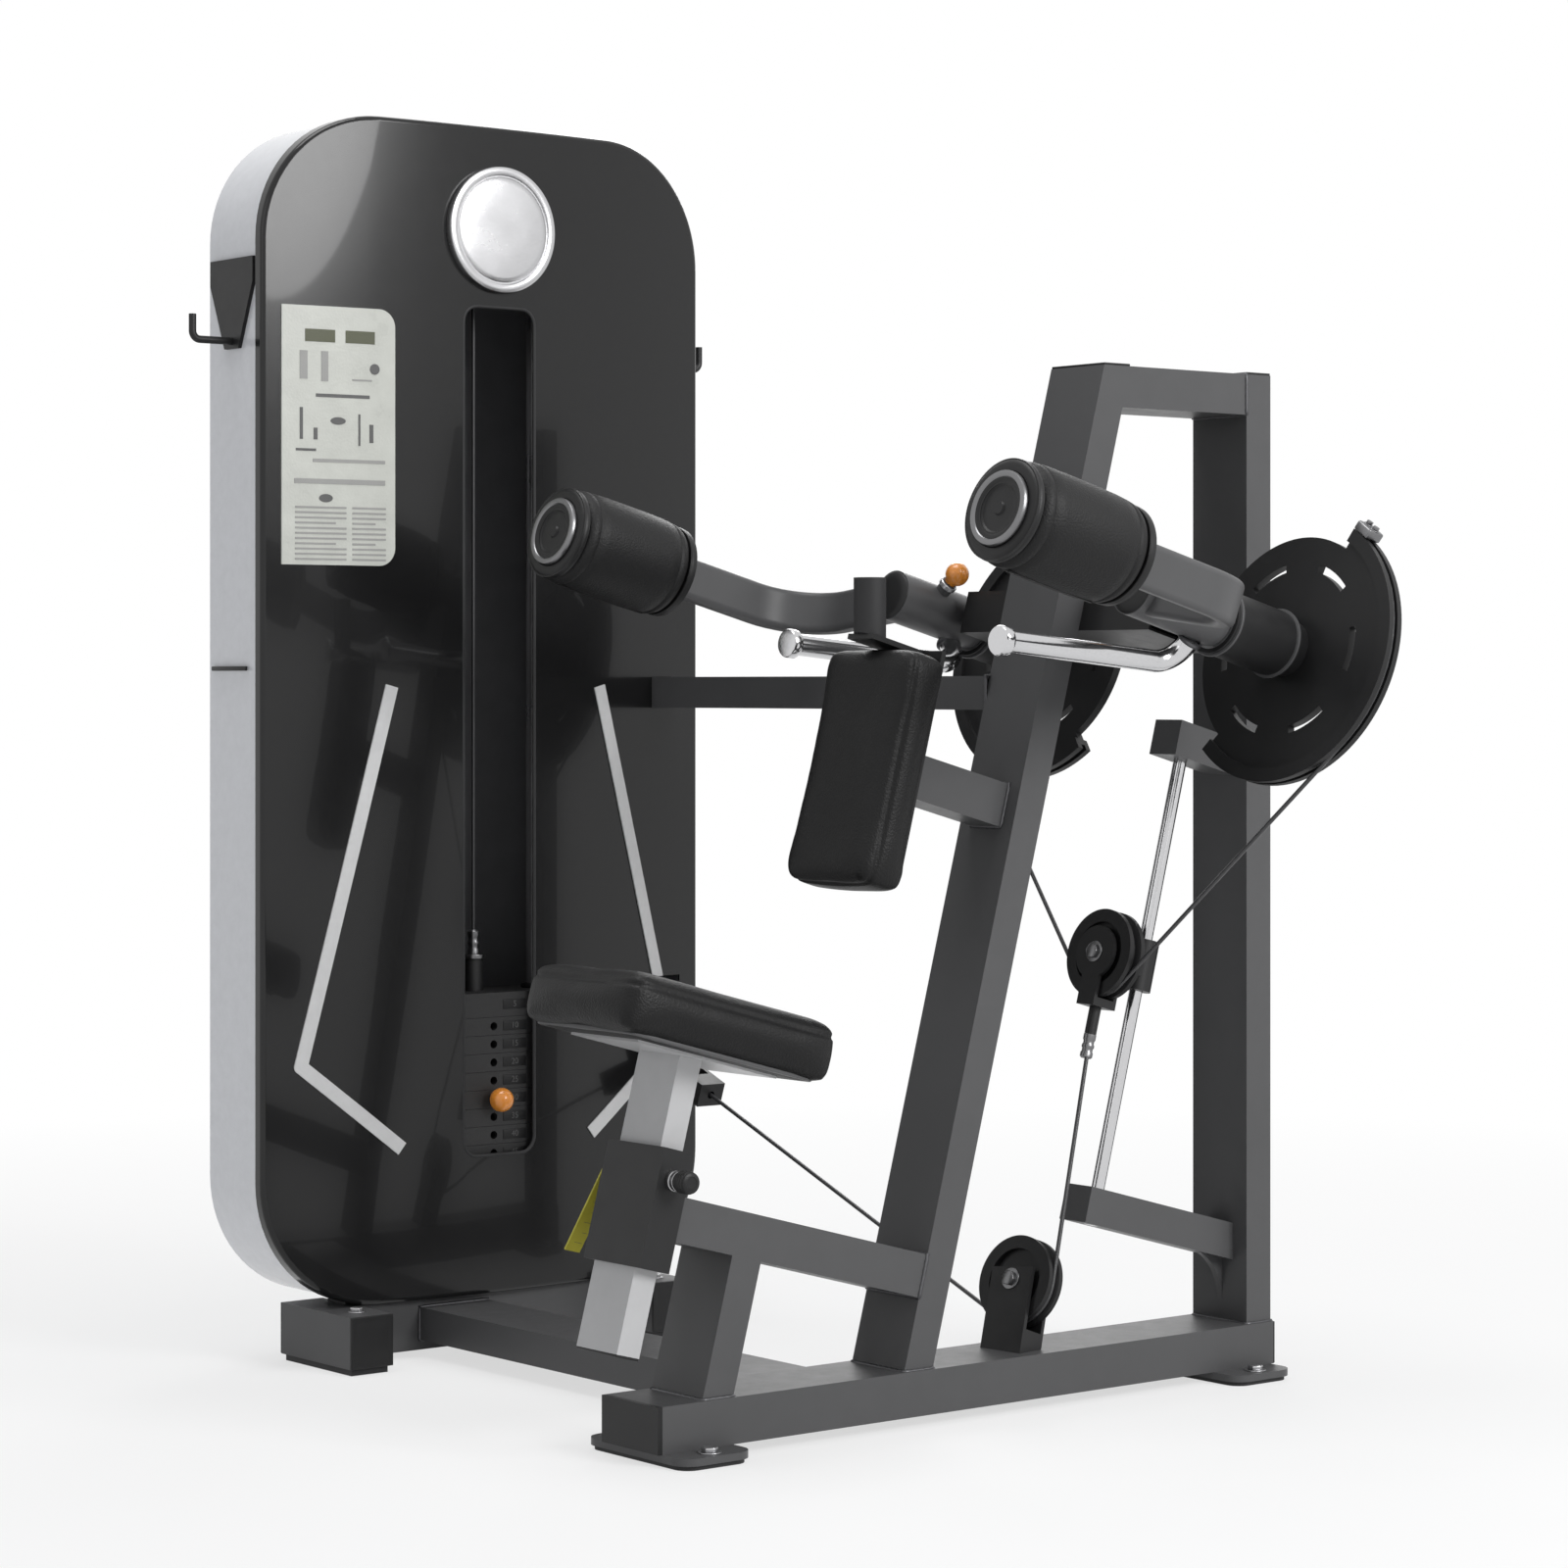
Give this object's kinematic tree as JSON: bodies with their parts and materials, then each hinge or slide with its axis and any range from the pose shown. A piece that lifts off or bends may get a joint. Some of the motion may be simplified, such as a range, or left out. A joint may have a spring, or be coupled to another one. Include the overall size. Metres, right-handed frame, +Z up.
{
  "type": "lateral raise machine",
  "caption": "Seated shoulder-raise machine: padded rollers on two hinged arms lift a weight stack in a covered tower by cable.",
  "frame": {"origin": "on the floor, midway between the two anchor plates of the main rail, on its centre plane", "axes": "+X the way the seated user faces, +Y from the main rail towards the weight tower, +Z up"},
  "size_m": [1.0007, 1.2675, 1.507],
  "materials": {
    "frame_paint": "satin",
    "black_paint": "satin",
    "steel": "satin",
    "knob_orange": "gloss",
    "chrome": "polished",
    "silver_paint": "satin",
    "weight_iron": "satin",
    "black_plastic": "matt",
    "cover_gloss": "gloss",
    "shell_grey": "gloss",
    "rubber": "matt",
    "cable_sheath": "satin",
    "upholstery": "satin",
    "roller_foam": "satin",
    "scale_yellow": "satin",
    "badge_silver": "satin",
    "placard_white": "satin",
    "strip_white": "satin"
  },
  "bodies": {
    "root": {"base_rail": "frame_paint", "rail_end_cap": "black_plastic", "anchor_plates": "frame_paint", "rubber_feet": "rubber", "rear_post": "frame_paint", "front_post": "frame_paint", "top_beam": "frame_paint", "seat_frame": "frame_paint", "seat_sleeve": "black_paint", "sleeve_liner": "black_plastic", "height_scale": "scale_yellow", "chest_tube": "frame_paint", "pivot_carrier": "black_paint", "pivot_bearings": "steel", "rod_brackets": "frame_paint", "guide_rod": "chrome", "pulley_brackets": "black_paint", "upper_link_beam": "frame_paint", "lower_link_beam": "frame_paint", "tower_base": "frame_paint", "tower_frame": "black_paint", "stack_guide_rods": "steel", "stack_bumpers": "rubber", "lower_plates": "weight_iron", "front_cover": "cover_gloss", "side_shell": "shell_grey", "back_cover": "shell_grey", "badge_disc": "badge_silver", "placard": "placard_white", "chevron_strips": "strip_white", "accessory_hooks": "black_paint", "chest_pad": "upholstery", "chest_backplate": "black_paint", "centre_grip": "rubber"},
    "right_arm": {"right_arm": "frame_paint", "right_cam": "black_paint", "right_handle": "chrome"},
    "left_arm": {"left_arm": "frame_paint", "left_cam": "black_paint", "left_handle": "chrome"},
    "right_roller": {"right_roller": "roller_foam", "right_roller_core": "black_plastic"},
    "left_roller": {"left_roller": "roller_foam", "left_roller_core": "black_plastic"},
    "right_start_pin": {"right_start_pin": "knob_orange"},
    "left_start_pin": {"left_start_pin": "knob_orange"},
    "carriage": {"pulley_carriage": "black_paint", "arm_cable": "cable_sheath", "lift_cable": "cable_sheath"},
    "float_wheel": {"float_wheel": "black_plastic"},
    "lower_wheel": {"lower_wheel": "black_plastic"},
    "entry_wheel": {"entry_wheel": "black_plastic"},
    "top_wheel_outer": {"top_wheel_outer": "black_plastic"},
    "top_wheel_inner": {"top_wheel_inner": "black_plastic"},
    "weight_lift": {"lifted_stack": "weight_iron", "drop_cable": "cable_sheath"},
    "weight_pin": {"weight_pin": "knob_orange"},
    "seat": {"seat_post": "silver_paint", "seat_cushion": "upholstery"},
    "seat_pull_pin": {"seat_pull_pin": "steel"}
  },
  "joints": [
    {"name": "weight_lift", "type": "slide", "parent": "root", "child": "weight_lift", "axis": [0, 0, 1], "range_m": [0, 0.1895], "deforming": ["drop_cable"]},
    {"name": "right_arm_raise", "type": "hinge", "parent": "root", "child": "right_arm", "pos_m": [0.23656, -0.205, 0.88286], "axis": [-0.9659, 0, 0.2588], "range_deg": [0, 60]},
    {"name": "left_arm_raise", "type": "hinge", "parent": "root", "child": "left_arm", "pos_m": [0.23656, 0.205, 0.88286], "axis": [0.9659, 0, -0.2588], "range_deg": [0, 60]},
    {"name": "carriage_slide", "type": "slide", "parent": "root", "child": "carriage", "axis": [0.2588, 0, 0.9659], "range_m": [0, 0.19], "deforming": ["arm_cable", "lift_cable"]},
    {"name": "float_wheel_spin", "type": "hinge", "parent": "carriage", "child": "float_wheel", "pos_m": [0.2307, 0, 0.50552], "axis": [0.9659, 0, -0.2588], "continuous": true},
    {"name": "right_roller_spin", "type": "hinge", "parent": "right_arm", "child": "right_roller", "pos_m": [-0.1945, -0.38751, 0.97415], "axis": [0.9659, 0, -0.2588], "continuous": true},
    {"name": "left_roller_spin", "type": "hinge", "parent": "left_arm", "child": "left_roller", "pos_m": [-0.1945, 0.38751, 0.97415], "axis": [0.9659, 0, -0.2588], "continuous": true},
    {"name": "weight_pin_pull", "type": "slide", "parent": "weight_lift", "child": "weight_pin", "axis": [0, -1, 0], "range_m": [0, 0.1]},
    {"name": "seat_height", "type": "slide", "parent": "root", "child": "seat", "axis": [0.2588, 0, 0.9659], "range_m": [-0.04, 0.1]},
    {"name": "seat_pin_pull", "type": "slide", "parent": "root", "child": "seat_pull_pin", "axis": [0, -1, 0], "range_m": [0, 0.01], "stiffness_N_per_m": 800, "springref_m": -0.005},
    {"name": "right_start_pin_pull", "type": "slide", "parent": "right_arm", "child": "right_start_pin", "axis": [0.183, 0.7071, 0.683], "range_m": [0, 0.01], "stiffness_N_per_m": 800, "springref_m": -0.005},
    {"name": "left_start_pin_pull", "type": "slide", "parent": "left_arm", "child": "left_start_pin", "axis": [0.183, -0.7071, 0.683], "range_m": [0, 0.01], "stiffness_N_per_m": 800, "springref_m": -0.005},
    {"name": "lower_wheel_spin", "type": "hinge", "parent": "root", "child": "lower_wheel", "pos_m": [0.10645, 0.00936, 0.13523], "axis": [-0.9377, -0.0999, 0.3327], "range_deg": [0, 230]},
    {"name": "entry_wheel_spin", "type": "hinge", "parent": "root", "child": "entry_wheel", "pos_m": [0.10677, 0.68222, 0.3892], "axis": [-0.9997, 0.0257, 0], "range_deg": [0, 230]},
    {"name": "top_wheel_outer_spin", "type": "hinge", "parent": "root", "child": "top_wheel_outer", "pos_m": [0.0602, 0.73, 1.4242], "axis": [0, 1, 0], "range_deg": [0, 230]},
    {"name": "top_wheel_inner_spin", "type": "hinge", "parent": "root", "child": "top_wheel_inner", "pos_m": [-0.1122, 0.73, 1.4242], "axis": [0, 1, 0], "range_deg": [0, 230]}
  ],
  "couplings": [
    {"joint": "right_arm_raise", "follows": "weight_lift", "rad_per_m": 5.525},
    {"joint": "left_arm_raise", "follows": "weight_lift", "rad_per_m": 5.525},
    {"joint": "carriage_slide", "follows": "weight_lift", "ratio": 1},
    {"joint": "lower_wheel_spin", "follows": "weight_lift", "rad_per_m": 20.921},
    {"joint": "entry_wheel_spin", "follows": "weight_lift", "rad_per_m": 20.921},
    {"joint": "top_wheel_outer_spin", "follows": "weight_lift", "rad_per_m": 20.921},
    {"joint": "top_wheel_inner_spin", "follows": "weight_lift", "rad_per_m": 20.921}
  ]
}
